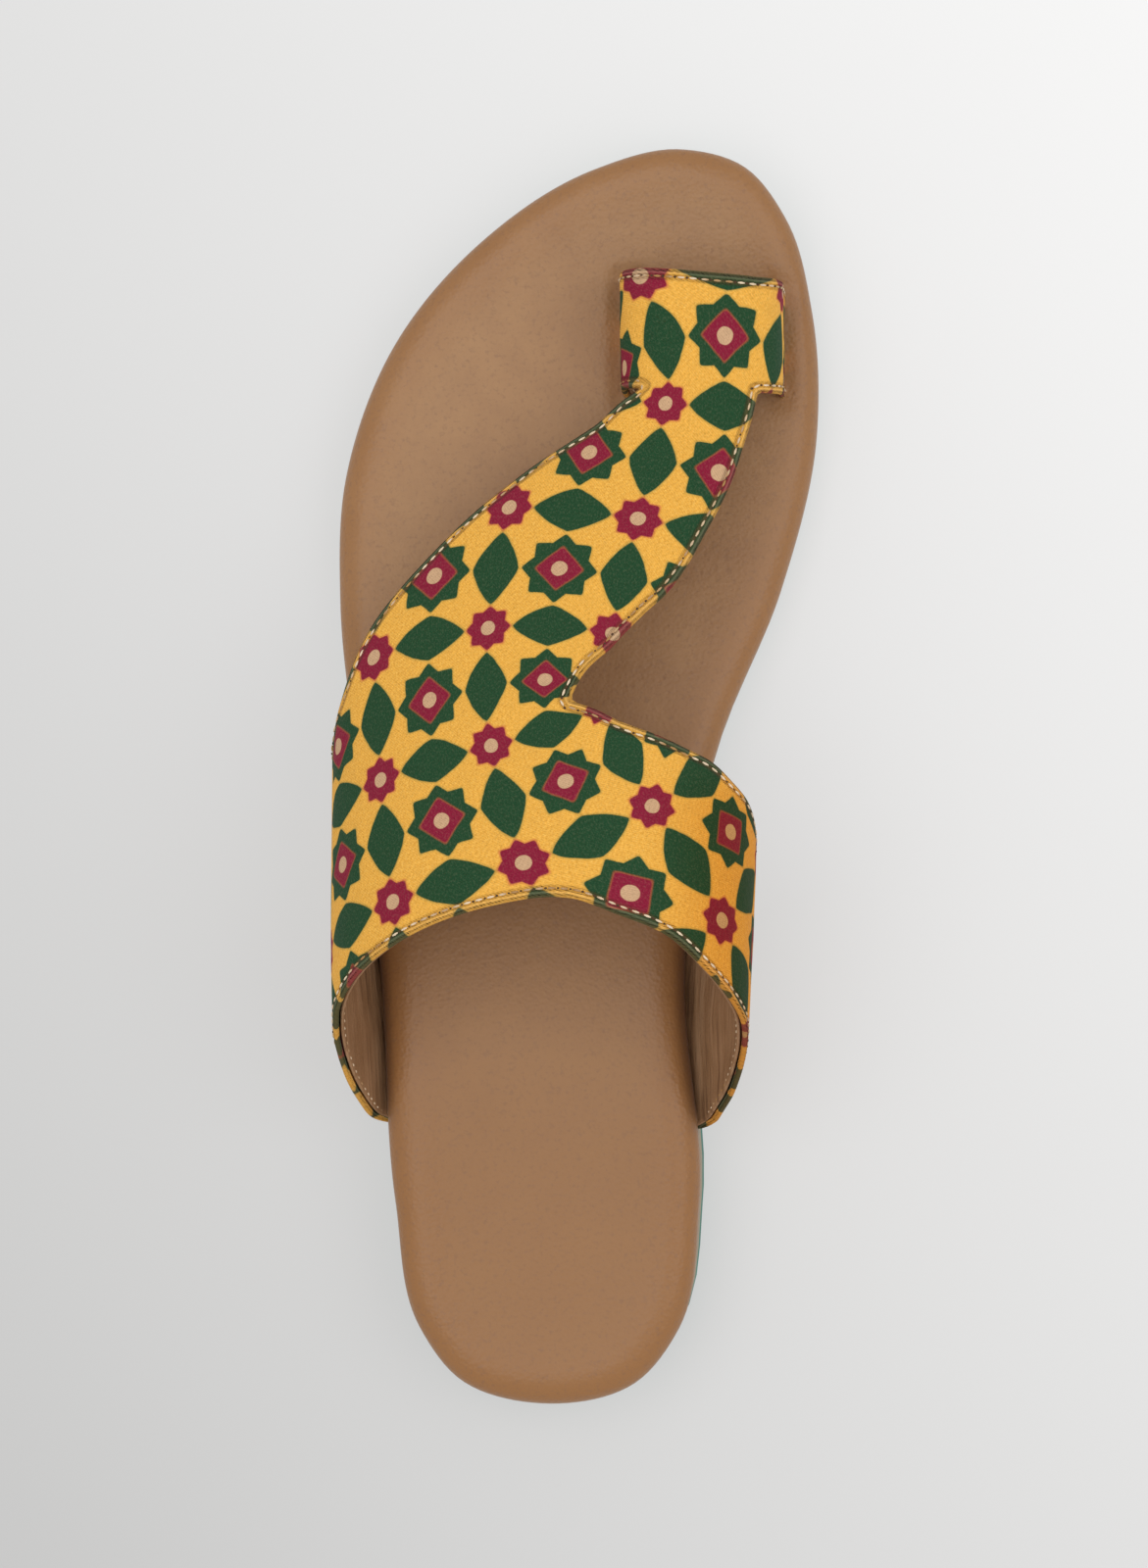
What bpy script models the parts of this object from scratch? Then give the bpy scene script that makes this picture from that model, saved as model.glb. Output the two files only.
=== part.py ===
# Open sandal for the left foot: a padded leather footbed on a thin rubber outsole, and a cloth and
# leather upper of an instep band, a slanting strap and a loop for the big toe.
# The shoe stands on its heel and ball, toe along +Y, big toe side along +X, the origin on the floor
# under the middle of the heel.
from bisect import bisect_right
from math import cos, pi, radians, sin

import bmesh
import bpy
from mathutils import Vector

LENGTH = 0.270
BALL_WIDTH = 0.1035
HEEL_HEIGHT = 0.0240
BALL_HEIGHT = 0.0155
TOE_SPRING = 0.0085
INSTEP_HEIGHT = 0.0560
HEEL_REST = 0.0350
FOOTBED_THICK = 0.0100
EDGE_ROUND_IN = 0.0070
EDGE_ROUND_DOWN = 0.0048
EDGE_TUCK_IN = 0.0034
HEEL_CUP = 0.0010
OUTSOLE_INSET = 0.0002
OUTSOLE_DRAFT = 0.0008
HEEL_FLARE = 0.0010
ARCH_RISE = 0.0034
GROOVE_DEEP = 0.0014
GROOVE_WIDE = 0.0024
GROOVE_PITCH = 0.0090
WALL = 0.0024
GAP = 0.0003
SIDE_GAP = 0.0006
SLOT_GAP = 0.0005

# Edge of the footbed seen from above, round from the back of the heel by the big toe side,
# as shares of the length and of the ball width from the heel's centre line.
OUTLINE = (
    # along, across
    (0.002, -0.010), (0.021, 0.193), (0.062, 0.276), (0.161, 0.319), (0.339, 0.288), (0.441, 0.304),
    (0.527, 0.358), (0.649, 0.486), (0.771, 0.560), (0.872, 0.550), (0.943, 0.498), (0.984, 0.412),
    (0.998, 0.283), (0.983, 0.098), (0.932, -0.125), (0.842, -0.331), (0.740, -0.428), (0.640, -0.439),
    (0.522, -0.405), (0.339, -0.344), (0.161, -0.313), (0.062, -0.263), (0.021, -0.180),
)

# Inside of the upper in slices across the shoe: where its crown and its widest lines lie, across as
# shares of the ball width and above the footbed as shares of the instep height, and how full it is.
STATIONS = (
    # along, crown_x, crown_h, lat_x, lat_h, med_x, med_h, lat_full, med_full
    (0.16, 0.075, 1.14, -0.350, 0.40, 0.375, 0.50, 1.9, 2.3),
    (0.32, 0.085, 1.07, -0.390, 0.40, 0.410, 0.50, 1.9, 2.3),
    (0.44, 0.100, 0.94, -0.400, 0.34, 0.420, 0.44, 1.9, 2.3),
    (0.54, 0.130, 0.76, -0.408, 0.22, 0.420, 0.30, 1.8, 2.2),
    (0.64, 0.190, 0.61, -0.420, 0.08, 0.440, 0.16, 1.65, 2.1),
    (0.725, 0.250, 0.490, -0.160, 0.08, 0.468, 0.14, 2.0, 2.3),
    (0.760, 0.288, 0.430, 0.012, 0.10, 0.470, 0.15, 2.5, 2.6),
    (0.790, 0.322, 0.399, 0.124, 0.14, 0.4715, 0.16, 2.9, 2.9),
    (0.800, 0.3268, 0.395, 0.182, 0.16, 0.4715, 0.16, 3.0, 3.0),
    (0.804, 0.3268, 0.395, 0.182, 0.16, 0.4715, 0.16, 3.0, 3.0),
    (0.93, 0.3268, 0.380, 0.182, 0.16, 0.4715, 0.16, 3.0, 3.0),
)
WIDEST = 0.62

# Edges of the upper: round the arch from -1 at the little toe side's base by 0 on the crown to 1 at
# the big toe side's base, and along as a share of the length.
REAR_EDGE = (
    # round, along
    (-1.00, 0.222), (-0.90, 0.233), (-0.80, 0.250), (-0.70, 0.272), (-0.62, 0.294), (-0.472, 0.335),
    (-0.331, 0.368), (-0.125, 0.401), (-0.031, 0.408), (0.116, 0.3945), (0.230, 0.379), (0.325, 0.3555),
    (0.422, 0.3334), (0.62, 0.296), (0.80, 0.253), (0.90, 0.234), (1.00, 0.217),
)
FRONT_EDGE = (
    # round, along
    (-1.00, 0.474), (-0.80, 0.494), (-0.62, 0.526), (-0.483, 0.577), (-0.418, 0.617), (-0.368, 0.660),
    (-0.346, 0.701), (-0.326, 0.722), (-0.314, 0.744), (-0.300, 0.760), (-0.274, 0.776), (-0.278, 0.799),
)
STRAP_EDGE = (
    # round, along
    (-0.041, 0.555), (-0.031, 0.573), (0.000, 0.595), (0.063, 0.621), (0.127, 0.642), (0.168, 0.6645),
    (0.201, 0.689), (0.234, 0.714), (0.253, 0.732), (0.264, 0.755), (0.274, 0.775), (0.285, 0.798),
)
WING_EDGE = (
    # round, along
    (-0.041, 0.555), (0.052, 0.541), (0.184, 0.527), (0.254, 0.518), (0.316, 0.5106), (0.413, 0.493),
    (0.498, 0.4795), (0.62, 0.456), (0.80, 0.420), (1.00, 0.385),
)
LOOP_REAR = 0.802
LOOP_FRONT_LATERAL = 0.896
LOOP_FRONT_MEDIAL = 0.888
STRAP_START = -0.55

# Squares of mesh along each stretch of the upper.
BASE_COLUMNS = (1.0, 0.985, 0.968, 0.95, 0.925, 0.885, 0.83, 0.76, 0.69, 0.62)
STRAP_COLUMNS = 11
INSIDE_COLUMNS = 13
BAND_ROWS = 12
STRAP_ROWS = 17
LOOP_ROWS = 6
LOOP_COLUMNS = 11
SOLE_POINTS = 96


def smooth(t):
    t = min(max(t, 0.0), 1.0)
    return t * t * (3 - 2 * t)


def spline(knots, rows):
    """Smooth curve through rows of values at rising knots, as a function."""
    points = [Vector(row) for row in rows]
    steps = [b - a for a, b in zip(knots, knots[1:])]
    rates = [(b - a) / step for a, b, step in zip(points, points[1:], steps)]
    slopes = [rates[0]]
    for i in range(1, len(rates)):
        share = steps[i] / (steps[i - 1] + steps[i])
        slopes.append(rates[i - 1] * share + rates[i] * (1 - share))
    slopes.append(rates[-1])

    def at(t):
        t = min(max(t, knots[0]), knots[-1])
        i = min(bisect_right(knots, t) - 1, len(rates) - 1)
        u = (t - knots[i]) / steps[i]
        ends = points[i] * (1 + 2 * u) * (1 - u) ** 2 + points[i + 1] * (3 - 2 * u) * u * u
        lean = slopes[i] * u * (1 - u) ** 2 - slopes[i + 1] * u * u * (1 - u)
        return ends + lean * steps[i]
    return at


def run_lengths(points):
    lengths = [0.0]
    for a, b in zip(points, points[1:]):
        lengths.append(lengths[-1] + (Vector(b) - Vector(a)).length)
    return lengths


def path(points):
    """Smooth curve through points, run from 0 to 1 by the distance between them."""
    lengths = run_lengths(points)
    return spline([length / lengths[-1] for length in lengths], points)


def footbed_outline(count):
    """Evenly spaced points round the footbed's widest line, from the back of the heel."""
    points = [(x * BALL_WIDTH, y * LENGTH) for y, x in OUTLINE]
    wrapped = points[-3:] + points + points[:4]
    lengths = run_lengths(wrapped)
    curve = spline(lengths, wrapped)
    start, end = lengths[3], lengths[3 + len(points)]
    dense = [curve(start + (end - start) * i / 2000) for i in range(2001)]
    runs = run_lengths(dense)
    ring = []
    for i in range(count):
        want = runs[-1] * i / count
        j = min(bisect_right(runs, want) - 1, 1999)
        ring.append(dense[j].lerp(dense[j + 1], (want - runs[j]) / (runs[j + 1] - runs[j])))
    return ring


def outline_side(side):
    """The outline's x along the shoe on one side, as a function of y."""
    ring = footbed_outline(720)
    toe = max(range(720), key=lambda i: ring[i].y)
    edge = sorted(ring[:toe + 1] if side > 0 else ring[toe:], key=lambda p: p.y)
    heights = [p.y for p in edge]

    def at(y):
        i = min(max(bisect_right(heights, y) - 1, 0), len(edge) - 2)
        share = (y - heights[i]) / max(heights[i + 1] - heights[i], 1e-9)
        return edge[i].x + (edge[i + 1].x - edge[i].x) * min(max(share, 0.0), 1.0)
    return at


EDGE_X = {1: outline_side(1), -1: outline_side(-1)}
SECTION = spline([row[0] for row in STATIONS], [row[1:] for row in STATIONS])


def toe_lift(along):
    return max(0.0, (along - 0.76) / 0.24) ** 1.9


def top_height(y):
    """Height of the footbed's top along the shoe."""
    along = y / LENGTH
    fall = smooth((along - 0.22) / 0.48)
    return BALL_HEIGHT + (HEEL_HEIGHT - BALL_HEIGHT) * (1 - fall) + TOE_SPRING * toe_lift(along)


def inner(a, y):
    """Point of the upper's lining, a round the arch and y along the shoe."""
    along = y / LENGTH
    crown_x, crown_h, lat_x, lat_h, med_x, med_h, lat_full, med_full = SECTION(along)
    side, wide_x, wide_h, full = (1, med_x, med_h, med_full) if a > 0 else (-1, lat_x, lat_h, lat_full)
    crown_x, wide_x = crown_x * BALL_WIDTH, wide_x * BALL_WIDTH
    crown_h, wide_h = crown_h * INSTEP_HEIGHT, wide_h * INSTEP_HEIGHT
    top = top_height(y)
    if abs(a) <= WIDEST:
        turn = pi / 2 * abs(a) / WIDEST
        reach = (sin(turn) ** full + cos(turn) ** full) ** (-1 / full)
        return Vector((crown_x + (wide_x - crown_x) * sin(turn) * reach, y,
                       top + wide_h + (crown_h - wide_h) * cos(turn) * reach))
    down = (abs(a) - WIDEST) / (1 - WIDEST)
    base = top - FOOTBED_THICK
    z = top + wide_h + (base - top - wide_h) * down
    under = min(max((z - base) / (FOOTBED_THICK - EDGE_ROUND_DOWN), 0.0), 1.0)
    bulge = wide_x - EDGE_X[side](y) - side * SIDE_GAP
    x = EDGE_X[side](y) + side * (SIDE_GAP - EDGE_TUCK_IN * (1 - under) ** 2) + bulge * cos(pi / 2 * down)
    loop = smooth((along - 0.70) / 0.09)
    return Vector((x + (wide_x - x) * loop, y, z))


def outer(a, y):
    """Point of the upper's face, over the lining's point by the wall."""
    across = inner(min(a + 0.01, 1), y) - inner(max(a - 0.01, -1), y)
    ahead = inner(a, y + 0.0005) - inner(a, y - 0.0005)
    out = across.cross(ahead).normalized()
    out.z *= 1 - smooth((abs(a) - WIDEST) / 0.08)
    return inner(a, y) + out.normalized() * WALL


def share_round(curve, a):
    """Share of an edge's run at which it lies a round the arch."""
    low, high = 0.0, 1.0
    for _ in range(40):
        middle = (low + high) / 2
        low, high = (middle, high) if curve(middle).x < a else (low, middle)
    return low


def spaced(curve, count, start=0.0):
    return [curve(start + (1 - start) * i / count) for i in range(count + 1)]


def straight(first, last, count):
    return [Vector(first).lerp(Vector(last), i / count) for i in range(count + 1)]


def fill_patch(bottom, top, left, right):
    """Rows of points between four edges that meet at their ends."""
    rows = []
    for j, (lo, hi) in enumerate(zip(left, right)):
        v = j / (len(left) - 1)
        row = []
        for i, (low, high) in enumerate(zip(bottom, top)):
            u = i / (len(bottom) - 1)
            corners = (bottom[0].lerp(bottom[-1], u)).lerp(top[0].lerp(top[-1], u), v)
            row.append(low.lerp(high, v) + lo.lerp(hi, u) - corners)
        rows.append(row)
    return rows


def upper_patches():
    """The upper as four-sided patches of (round, along) points that share their edges."""
    front, rear = path(FRONT_EDGE), path(REAR_EDGE)
    notch, wing = path(STRAP_EDGE), path(WING_EDGE)
    start = share_round(front, STRAP_START)
    neck = straight(front(1), notch(1), STRAP_COLUMNS)
    crossing = straight(front(start), notch(0), STRAP_COLUMNS)
    ahead = [front(share_round(front, -a)) for a in BASE_COLUMNS] + crossing
    for i in range(1, INSIDE_COLUMNS):
        a = crossing[-1].x + (WIDEST - crossing[-1].x) * i / INSIDE_COLUMNS
        ahead.append(wing(share_round(wing, a)))
    ahead += [wing(share_round(wing, a)) for a in BASE_COLUMNS[::-1]]
    behind = [rear(share_round(rear, p.x)) for p in ahead]
    band = [[low.lerp(high, j / BAND_ROWS) for low, high in zip(behind, ahead)]
            for j in range(BAND_ROWS + 1)]
    strap = fill_patch(crossing, neck, spaced(front, STRAP_ROWS, start), spaced(notch, STRAP_ROWS))
    lateral, medial = neck[0].x, neck[-1].x
    front_left = Vector((lateral, LOOP_FRONT_LATERAL))
    front_right = Vector((medial, LOOP_FRONT_MEDIAL))
    left = straight(neck[0], front_left, LOOP_ROWS)
    right = straight(neck[-1], front_right, LOOP_ROWS)
    loop = fill_patch(neck, straight(front_left, front_right, STRAP_COLUMNS), left, right)
    outside = fill_patch(straight((-1, LOOP_REAR), neck[0], LOOP_COLUMNS),
                         straight((-1, LOOP_FRONT_LATERAL), front_left, LOOP_COLUMNS),
                         straight((-1, LOOP_REAR), (-1, LOOP_FRONT_LATERAL), LOOP_ROWS), left)
    inside = fill_patch(straight(neck[-1], (1, LOOP_REAR), LOOP_COLUMNS),
                        straight(front_right, (1, LOOP_FRONT_MEDIAL), LOOP_COLUMNS),
                        right, straight((1, LOOP_REAR), (1, LOOP_FRONT_MEDIAL), LOOP_ROWS))
    return [band, strap, loop, outside, inside]


def finish(name, mesh_data, material):
    """Turns a bmesh into a smooth object standing over the heel's rest."""
    bmesh.ops.recalc_face_normals(mesh_data, faces=mesh_data.faces)
    bmesh.ops.translate(mesh_data, verts=mesh_data.verts, vec=(0, -HEEL_REST, 0))
    mesh = bpy.data.meshes.new(name)
    mesh_data.to_mesh(mesh)
    mesh_data.free()
    if material:
        mesh.materials.append(material)
        mesh.shade_smooth()
    part = bpy.data.objects.new(name, mesh)
    bpy.context.scene.collection.objects.link(part)
    return part


def make_upper(material):
    """One wall from lining to face, its rim closed wherever a patch has no neighbour."""
    body = bmesh.new()
    for surface in (inner, outer):
        for patch in upper_patches():
            rows = [[body.verts.new(surface(p.x, p.y * LENGTH)) for p in row] for row in patch]
            for low, high in zip(rows, rows[1:]):
                for i in range(len(low) - 1):
                    corners = (low[i], low[i + 1], high[i + 1], high[i])
                    body.faces.new(corners if surface is outer else corners[::-1])
    bmesh.ops.remove_doubles(body, verts=body.verts, dist=1e-6)
    rims = [edge for edge in body.edges if edge.is_boundary]
    bmesh.ops.bridge_loops(body, edges=rims)
    return finish("upper", body, material)


def inward(ring, i):
    """Unit direction from a ring's point to its inside."""
    run = (ring[(i + 1) % len(ring)] - ring[i - 1]).normalized()
    return Vector((-run.y, run.x))


def sole_ring(ring, inset, share, height):
    """The outline moved in by a distance, then drawn towards the middle line by a share."""
    points = []
    for i, point in enumerate(ring):
        moved = point + inward(ring, i) * inset
        y = min(max(moved.y, 0.10 * LENGTH), 0.86 * LENGTH)
        middle = Vector(((EDGE_X[1](y) + EDGE_X[-1](y)) / 2, y))
        moved = moved.lerp(middle, share)
        points.append((moved.x, moved.y, height(moved)))
    return points


def skin_rings(name, rings, material):
    """A closed body through rings of points, each end zipped across."""
    body = bmesh.new()
    loops = [[body.verts.new(point) for point in ring] for ring in rings]
    count = len(rings[0])
    for low, high in zip(loops, loops[1:]):
        for i in range(count):
            j = (i + 1) % count
            body.faces.new((low[i], low[j], high[j], high[i]))
    for loop in (loops[0], loops[-1]):
        for i in range(count // 2):
            corners = [loop[i], loop[i + 1], loop[count - i - 1], loop[-i % count]]
            body.faces.new(list(dict.fromkeys(corners)))
    return finish(name, body, material)


def cup(point):
    """Depth of the heel's hollow at a point of the footbed's top."""
    off = ((point.y - 0.14 * LENGTH) / (0.17 * LENGTH)) ** 2 + (point.x / (0.30 * BALL_WIDTH)) ** 2
    return HEEL_CUP * (1 - smooth(off))


def make_footbed(material):
    """Padded board with a rounded edge, slotted where the toe loop goes through."""
    ring = footbed_outline(SOLE_POINTS)
    side = FOOTBED_THICK - EDGE_ROUND_DOWN

    def over_base(rise):
        return lambda p: top_height(p.y) - FOOTBED_THICK + rise

    rings = [sole_ring(ring, EDGE_TUCK_IN, share, over_base(0)) for share in (0.75, 0.4, 0)]
    for under in (0.3, 0.65, 1.0):
        rings.append(sole_ring(ring, EDGE_TUCK_IN * (1 - under) ** 2, 0, over_base(side * under)))
    for turn in (22, 44, 66, 90):
        rise = side + EDGE_ROUND_DOWN * sin(radians(turn))
        rings.append(sole_ring(ring, EDGE_ROUND_IN * (1 - cos(radians(turn))), 0, over_base(rise)))
    for share in (0.2, 0.42, 0.62, 0.8):
        rings.append(sole_ring(ring, EDGE_ROUND_IN, share, lambda p: top_height(p.y) - cup(p)))
    footbed = skin_rings("footbed", rings, material)
    cut_away(footbed, [slot_cutter(-1, LOOP_FRONT_LATERAL), slot_cutter(1, LOOP_FRONT_MEDIAL)])
    return footbed


def make_outsole(material):
    """Thin rubber with a low heel, an arch kept off the floor and shallow cross grooves."""
    ring = footbed_outline(SOLE_POINTS)

    def top(p):
        return top_height(p.y) - FOOTBED_THICK - GAP

    def ground(p):
        return TOE_SPRING * toe_lift(p.y / LENGTH)

    flared = []
    for i, point in enumerate(ring):
        spread = HEEL_FLARE * (1 - smooth((point.y / LENGTH - 0.22) / 0.12))
        flared.append(point - inward(ring, i) * spread)
    foot = OUTSOLE_INSET + OUTSOLE_DRAFT
    rings = [sole_ring(ring, OUTSOLE_INSET, share, top) for share in (0.8, 0.4, 0)]
    rings.append(sole_ring(flared, foot, 0, lambda p: ground(p) + 0.0008))
    rings.append(sole_ring(flared, foot + 0.0008, 0, ground))
    rings += [sole_ring(flared, foot, share, ground) for share in (0.25, 0.5, 0.8)]
    outsole = skin_rings("outsole", rings, material)
    cut_away(outsole, [arch_cutter()] + groove_cutters())
    return outsole


def block(name, low, high):
    body = bmesh.new()
    bmesh.ops.create_cube(body, size=1)
    size = Vector(high) - Vector(low)
    bmesh.ops.scale(body, verts=body.verts, vec=size)
    bmesh.ops.translate(body, verts=body.verts, vec=Vector(low) + size / 2)
    return body


def slot_cutter(side, front):
    """Rounded slot that takes one leg of the toe loop."""
    leg = inner(side, LOOP_REAR * LENGTH).x
    across = sorted((leg - side * SLOT_GAP, leg + side * (WALL + SLOT_GAP)))
    low = (across[0], LOOP_REAR * LENGTH - SLOT_GAP, 0)
    high = (across[1], front * LENGTH + SLOT_GAP, HEEL_HEIGHT * 1.5)
    return finish("slot_cutter", block("slot", low, high), None)


def arch_cutter():
    """Long low wedge under the waist, square at the heel breast."""
    body = bmesh.new()
    back, crown, front = 0.290 * LENGTH, 0.34 * LENGTH, 0.46 * LENGTH
    profile = [(back, -0.002), (back + 0.0012, ARCH_RISE * 0.8), (back + 0.004, ARCH_RISE)]
    for i in range(9):
        y = crown + (front - crown) * i / 8
        profile.append((y, ARCH_RISE * (1 - smooth(i / 8)) - 0.0001 * (i == 8)))
    profile.append((front, -0.002))
    face = body.faces.new([body.verts.new((-BALL_WIDTH, y, z)) for y, z in profile])
    swept = bmesh.ops.extrude_face_region(body, geom=[face])
    moved = [item for item in swept["geom"] if isinstance(item, bmesh.types.BMVert)]
    bmesh.ops.translate(body, verts=moved, vec=(2 * BALL_WIDTH, 0, 0))
    return finish("arch_cutter", body, None)


def groove_cutters():
    """Cross grooves of the heel and the forefoot, each stopped short of the sole's side."""
    cutters = []
    for first, last in ((0.05, 0.25), (0.49, 0.78)):
        y = first * LENGTH
        while y < last * LENGTH:
            low = (EDGE_X[-1](y) + 0.011, y, -0.002)
            high = (EDGE_X[1](y) - 0.011, y + GROOVE_WIDE, GROOVE_DEEP)
            cutters.append(finish("groove_cutter", block("groove", low, high), None))
            y += GROOVE_PITCH
    return cutters


def cut_away(part, cutters):
    for cutter in cutters:
        cutter.hide_render = True
        cutter.display_type = "WIRE"
        cut = part.modifiers.new(cutter.name, "BOOLEAN")
        cut.operation = "DIFFERENCE"
        cut.object = cutter


def surface_material(name, colour, roughness):
    material = bpy.data.materials.new(name)
    material.use_nodes = True
    shader = material.node_tree.nodes["Principled BSDF"]
    shader.inputs["Base Color"].default_value = (*colour, 1)
    shader.inputs["Roughness"].default_value = roughness
    return material


for item in list(bpy.data.objects):
    bpy.data.objects.remove(item)

make_outsole(surface_material("teal_rubber", (0.06, 0.27, 0.20), 0.7))
make_footbed(surface_material("tan_leather", (0.36, 0.20, 0.11), 0.6))
make_upper(surface_material("printed_cloth", (0.80, 0.45, 0.09), 0.85))
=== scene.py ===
from bisect import bisect_right
from math import cos, hypot, pi, radians, sin

import bmesh
import bpy
from mathutils import Matrix, Vector, noise
from mathutils.bvhtree import BVHTree
from mathutils.kdtree import KDTree


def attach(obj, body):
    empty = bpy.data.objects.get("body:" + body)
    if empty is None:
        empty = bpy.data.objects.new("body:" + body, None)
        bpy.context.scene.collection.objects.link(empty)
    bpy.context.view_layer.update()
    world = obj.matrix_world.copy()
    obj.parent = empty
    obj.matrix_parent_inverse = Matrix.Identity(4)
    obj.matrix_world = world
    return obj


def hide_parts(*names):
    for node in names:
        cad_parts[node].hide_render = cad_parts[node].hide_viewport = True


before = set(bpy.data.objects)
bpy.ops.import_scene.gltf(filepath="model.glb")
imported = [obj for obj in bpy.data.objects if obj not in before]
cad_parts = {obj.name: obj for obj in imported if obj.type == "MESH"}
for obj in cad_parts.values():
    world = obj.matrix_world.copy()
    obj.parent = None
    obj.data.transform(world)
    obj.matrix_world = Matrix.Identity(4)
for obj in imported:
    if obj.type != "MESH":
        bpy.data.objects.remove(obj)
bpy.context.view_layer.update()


# Camera
# It hangs above the floor a little past the shoe's inner side, and looks down and slightly across
# on it, with the toe at the top of the picture.
CAMERA_PLACE = Vector((0.0718, 0.0977, 0.914))
CAMERA_AIM = Vector((0.0060, 0.0985, 0.018))
FOCAL_LENGTH = 96
camera = bpy.data.objects.new("camera", bpy.data.cameras.new("camera"))
bpy.context.scene.collection.objects.link(camera)
bpy.context.scene.camera = camera
camera.data.lens = FOCAL_LENGTH
bpy.context.scene.view_settings.view_transform = "Standard"
look = (CAMERA_AIM - CAMERA_PLACE).normalized()
right = look.cross(Vector((0, 1, 0))).normalized()
turned = Matrix((right, right.cross(look), -look)).transposed().to_4x4()
camera.matrix_world = Matrix.Translation(CAMERA_PLACE) @ turned


# Outsole
# One moulding, the solid as it stands: teal-green rubber in the tread and lower side, a pale stone
# coloured layer over it up to the footbed, and a fine rib between the deep cross grooves.
LENGTH = 0.270
HEEL_HEIGHT = 0.0240
BALL_HEIGHT = 0.0155
TOE_SPRING = 0.0085
FOOTBED_THICK = 0.0100
HEEL_REST = 0.0350
# The top falls from heel to ball and rises again at the toe over these shares of the length.
FALL_FROM = 0.22
FALL_TO = 0.70
SPRING_FROM = 0.76
SPRING_POWER = 1.9
# Share of the side's height that is teal; the rest is the pale layer.
TEAL_SHARE = 0.48
RIB_PITCH = 0.0030
DARK_TEAL = (0.040, 0.190, 0.145)
LIGHT_TEAL = (0.062, 0.250, 0.190)
PALE_STONE = (0.400, 0.335, 0.250)
FLOOR_DUST = (0.32, 0.31, 0.27)


class Wire:
    """A value in a material, with the arithmetic of its Math nodes."""

    def __init__(self, tree, socket=None):
        self.tree, self.socket = tree, socket

    def node(self, kind, settings, inputs, output=0):
        """One output of a new node, with its settings and its sockets' values or links."""
        made = self.tree.nodes.new(kind)
        for key, value in settings.items():
            if key == "stops":
                elements = made.color_ramp.elements
                for place, colour in value[1:-1]:
                    elements.new(place).color = (*colour, 1)
                for end in (0, -1):
                    elements[end].position = value[end][0]
                    elements[end].color = (*value[end][1], 1)
            else:
                setattr(made, key, value)
        for key, value in inputs.items():
            if isinstance(value, Wire):
                self.tree.links.new(value.socket, made.inputs[key])
            else:
                made.inputs[key].default_value = value
        return Wire(self.tree, made.outputs[output])

    def math(self, operation, *others):
        """This value through a Math node, with the node's other values after it."""
        return self.node("ShaderNodeMath", {"operation": operation}, dict(enumerate((self, *others))))

    def __add__(self, other):
        return self.math("ADD", other)

    def __sub__(self, other):
        return self.math("SUBTRACT", other)

    def __rsub__(self, other):
        return self.node("ShaderNodeMath", {"operation": "SUBTRACT"}, {0: other, 1: self})

    def __mul__(self, other):
        return self.math("MULTIPLY", other)

    def __truediv__(self, other):
        return self.math("DIVIDE", other)

    def __abs__(self):
        return self.math("ABSOLUTE")

    __radd__ = __add__
    __rmul__ = __mul__

    def clear_below(self, low, high):
        """0 under low, 1 over high, smooth between."""
        return self.node("ShaderNodeMapRange", {"interpolation_type": "SMOOTHSTEP"},
                         {"Value": self, "From Min": low, "From Max": high})

    def ramp(self, *stops):
        """Colours laid along this value, each stop a place from 0 to 1 and a colour."""
        return self.node("ShaderNodeValToRGB", {"stops": stops}, {0: self})

    def blend(self, share, other, way="MIX"):
        """This colour turned by a share to another, a plain colour or a wire."""
        colour = other if isinstance(other, Wire) else (*other, 1)
        return self.node("ShaderNodeMix", {"data_type": "RGBA", "blend_type": way},
                         {0: share, 6: self, 7: colour}, 2)

    def cloud(self, size, detail=2.0, rough=0.5, stretch=(1, 1, 1)):
        """Soft noise with blobs of a size in metres, read at these coordinates."""
        moved = self.node("ShaderNodeMapping", {}, {"Vector": self, "Scale": stretch})
        return self.node("ShaderNodeTexNoise", {}, {"Vector": moved, "Scale": 1 / size, "Detail": detail,
                                                    "Roughness": rough})

    def parts(self):
        """The three numbers of a place."""
        made = self.tree.nodes.new("ShaderNodeSeparateXYZ")
        self.tree.links.new(self.socket, made.inputs[0])
        return [Wire(self.tree, socket) for socket in made.outputs]


def new_finish(name, **constants):
    """A material with its shader's steady values set, and the place a point has in the object."""
    finish = bpy.data.materials.new(name)
    finish.use_nodes = True
    shader = finish.node_tree.nodes["Principled BSDF"]
    for key, value in constants.items():
        shader.inputs[key.replace("_", " ")].default_value = value
    start = Wire(finish.node_tree)
    return finish, start, start.node("ShaderNodeTexCoord", {}, {}, "Object")


def set_finish(finish, **values):
    """Lead values that change over the surface to the shader."""
    shader = finish.node_tree.nodes["Principled BSDF"]
    for key, value in values.items():
        finish.node_tree.links.new(value.socket, shader.inputs[key.replace("_", " ")])


def relief(start, *layers):
    """Bumps laid one over the other, each a height from 0 to 1 and its depth in metres."""
    normal = None
    for height, depth in layers:
        inputs = {"Height": height, "Distance": depth, "Strength": 1.0}
        if normal:
            inputs["Normal"] = normal
        normal = start.node("ShaderNodeBump", {}, inputs)
    return normal


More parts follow.
